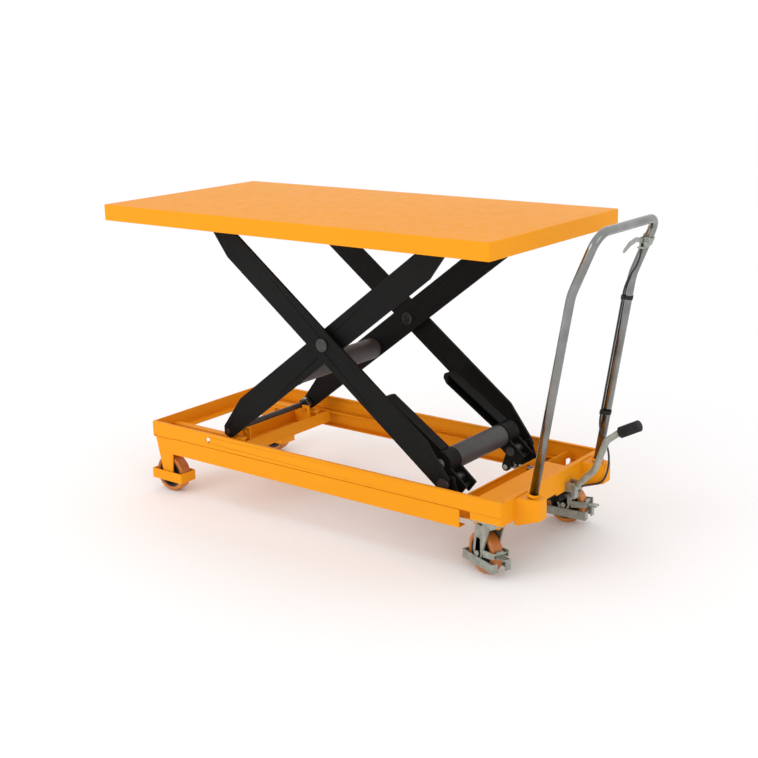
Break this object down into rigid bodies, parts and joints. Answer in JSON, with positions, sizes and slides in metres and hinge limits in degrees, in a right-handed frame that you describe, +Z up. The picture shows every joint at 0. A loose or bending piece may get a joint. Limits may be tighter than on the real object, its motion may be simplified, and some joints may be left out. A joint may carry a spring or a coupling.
{
  "type": "hydraulic scissor lift table",
  "caption": "Mobile hydraulic scissor lift table: large flat platform on crossed arms over a wheeled base, with push handle and foot pump.",
  "frame": {"origin": "on the floor, under the middle of the whole trolley, handle included, table raised", "axes": "+X towards the push handle along the long side, +Y to the far long side, +Z up"},
  "size_m": [1.7364, 0.72, 1.018],
  "materials": {
    "yellow_paint": "orange-yellow powder coat, semi-gloss",
    "black_paint": "black powder coat, satin",
    "grey_paint": "dark grey paint, satin",
    "zinc_plate": "zinc plated pressed steel",
    "chrome_tube": "chrome plated",
    "black_rubber": "moulded black rubber",
    "tread_polyurethane": "moulded orange-brown polyurethane",
    "core_moulding": "black moulding",
    "bright_steel": "turned steel",
    "dark_steel": "dark turned steel",
    "cable_sheath": "black cable sheath"
  },
  "bodies": {
    "base": {"side_beams": "yellow_paint", "lower_beams": "yellow_paint", "front_end_beam": "yellow_paint", "rear_end_beam": "yellow_paint", "cross_channels": "yellow_paint", "rear_deck": "yellow_paint", "corner_boxes": "yellow_paint", "roller_tracks": "yellow_paint", "shaft_lugs": "black_paint", "front_forks": "yellow_paint", "front_axles": "zinc_plate", "caster_plates": "zinc_plate", "push_handle": "chrome_tube", "handle_sockets": "yellow_paint", "cable_clips": "black_rubber", "release_bracket": "zinc_plate", "release_cable": "cable_sheath", "pump_body": "black_paint", "cylinder_barrels": "black_paint", "control_lugs": "zinc_plate"},
    "outer_arms": {"outer_arm_near": "black_paint", "outer_arm_far": "black_paint", "lift_levers": "black_paint", "centre_pins": "dark_steel", "lift_tube": "grey_paint", "lift_fasteners": "zinc_plate", "lower_shafts": "dark_steel", "upper_roller_stubs": "bright_steel"},
    "inner_arms": {"inner_arm_near": "black_paint", "inner_arm_far": "black_paint", "inner_tube": "grey_paint", "inner_arm_axles": "dark_steel"},
    "platform": {"platform_pan": "yellow_paint", "platform_ribs": "yellow_paint", "upper_pivot_pins": "bright_steel", "roller_rails": "yellow_paint", "platform_brackets": "yellow_paint"},
    "push_rods": {"push_rods": "chrome_tube"},
    "push_rollers": {"push_rollers": "bright_steel"},
    "lower_rollers": {"lower_rollers": "bright_steel"},
    "upper_rollers": {"upper_rollers": "bright_steel"},
    "front_wheel_near": {"front_core_near": "core_moulding", "front_tread_near": "tread_polyurethane"},
    "front_wheel_far": {"front_core_far": "core_moulding", "front_tread_far": "tread_polyurethane"},
    "caster_near": {"caster_fork_near": "zinc_plate", "caster_guard_near": "zinc_plate"},
    "caster_far": {"caster_fork_far": "zinc_plate", "caster_guard_far": "zinc_plate"},
    "caster_wheel_near": {"caster_core_near": "core_moulding", "caster_tread_near": "tread_polyurethane"},
    "caster_wheel_far": {"caster_core_far": "core_moulding", "caster_tread_far": "tread_polyurethane"},
    "brake_near": {"caster_brake_near": "zinc_plate"},
    "brake_far": {"caster_brake_far": "zinc_plate"},
    "release_lever": {"release_lever": "zinc_plate"},
    "valve_arm": {"valve_arm": "bright_steel"},
    "foot_pedal": {"foot_lever": "zinc_plate", "foot_grip": "black_rubber"},
    "pump_plunger": {"pump_plunger": "bright_steel"}
  },
  "joints": [
    {"name": "lift", "type": "hinge", "parent": "base", "child": "outer_arms", "pos_m": [0.394, 0, 0.236], "axis": [0, -1, 0], "range_deg": [0, 36.57]},
    {"name": "centre_pivot", "type": "hinge", "parent": "outer_arms", "child": "inner_arms", "pos_m": [-0.05275, 0, 0.598], "axis": [0, 1, 0], "range_deg": [0, 73.2]},
    {"name": "platform_pivot", "type": "hinge", "parent": "inner_arms", "child": "platform", "pos_m": [0.394, 0, 0.96], "axis": [0, -1, 0], "range_deg": [0, 36.6]},
    {"name": "rod_stroke", "type": "slide", "parent": "base", "child": "push_rods", "axis": [1, 0, 0], "range_m": [0, 0.0365]},
    {"name": "push_roller_spin", "type": "hinge", "parent": "outer_arms", "child": "push_rollers", "pos_m": [0.3758, 0, 0.18093], "axis": [0, 1, 0], "continuous": true},
    {"name": "lower_roller_spin", "type": "hinge", "parent": "inner_arms", "child": "lower_rollers", "pos_m": [-0.49949, 0, 0.236], "axis": [0, 1, 0], "continuous": true},
    {"name": "upper_roller_spin", "type": "hinge", "parent": "outer_arms", "child": "upper_rollers", "pos_m": [-0.49949, 0, 0.96], "axis": [0, 1, 0], "continuous": true},
    {"name": "front_wheel_near_spin", "type": "hinge", "parent": "base", "child": "front_wheel_near", "pos_m": [-0.724, -0.26, 0.0625], "axis": [0, 1, 0], "continuous": true},
    {"name": "front_wheel_far_spin", "type": "hinge", "parent": "base", "child": "front_wheel_far", "pos_m": [-0.724, 0.26, 0.0625], "axis": [0, 1, 0], "continuous": true},
    {"name": "caster_near_swivel", "type": "hinge", "parent": "base", "child": "caster_near", "pos_m": [0.572, -0.247, 0.15], "axis": [0, 0, 1], "continuous": true},
    {"name": "caster_wheel_near_spin", "type": "hinge", "parent": "caster_near", "child": "caster_wheel_near", "pos_m": [0.54048, -0.23426, 0.0625], "axis": [0.3746, 0.9272, 0], "continuous": true},
    {"name": "brake_near_press", "type": "hinge", "parent": "caster_near", "child": "brake_near", "pos_m": [0.60352, -0.25974, 0.076], "axis": [0.3746, 0.9272, 0], "range_deg": [0, 10], "stiffness_Nm_per_rad": 1, "springref_deg": -11.46},
    {"name": "caster_far_swivel", "type": "hinge", "parent": "base", "child": "caster_far", "pos_m": [0.572, 0.247, 0.15], "axis": [0, 0, 1], "continuous": true},
    {"name": "caster_wheel_far_spin", "type": "hinge", "parent": "caster_far", "child": "caster_wheel_far", "pos_m": [0.53808, 0.24463, 0.0625], "axis": [-0.0698, 0.9976, 0], "continuous": true},
    {"name": "brake_far_press", "type": "hinge", "parent": "caster_far", "child": "brake_far", "pos_m": [0.60592, 0.24937, 0.076], "axis": [-0.0698, 0.9976, 0], "range_deg": [0, 10], "stiffness_Nm_per_rad": 1, "springref_deg": -11.46},
    {"name": "release_squeeze", "type": "hinge", "parent": "base", "child": "release_lever", "pos_m": [0.82, 0.15, 0.938], "axis": [-1, 0, 0], "range_deg": [0, 15], "stiffness_Nm_per_rad": 4, "springref_deg": -17.19},
    {"name": "valve_turn", "type": "hinge", "parent": "base", "child": "valve_arm", "pos_m": [0.647, 0.106, 0.15], "axis": [-1, 0, 0], "range_deg": [0, 10.1]},
    {"name": "pedal_press", "type": "hinge", "parent": "base", "child": "foot_pedal", "pos_m": [0.654, 0.08, 0.186], "axis": [0, 1, 0], "range_deg": [0, 30], "stiffness_Nm_per_rad": 12, "springref_deg": -17.19},
    {"name": "plunger_stroke", "type": "slide", "parent": "base", "child": "pump_plunger", "axis": [1, 0, 0], "range_m": [-0.0154, 0]}
  ],
  "couplings": [
    {"joint": "centre_pivot", "follows": "lift", "ratio": 2},
    {"joint": "platform_pivot", "follows": "lift", "ratio": 1},
    {"joint": "rod_stroke", "follows": "lift", "m_per_rad": 0.05706},
    {"joint": "valve_turn", "follows": "release_squeeze", "ratio": 0.67},
    {"joint": "plunger_stroke", "follows": "pedal_press", "m_per_rad": -0.0292}
  ]
}
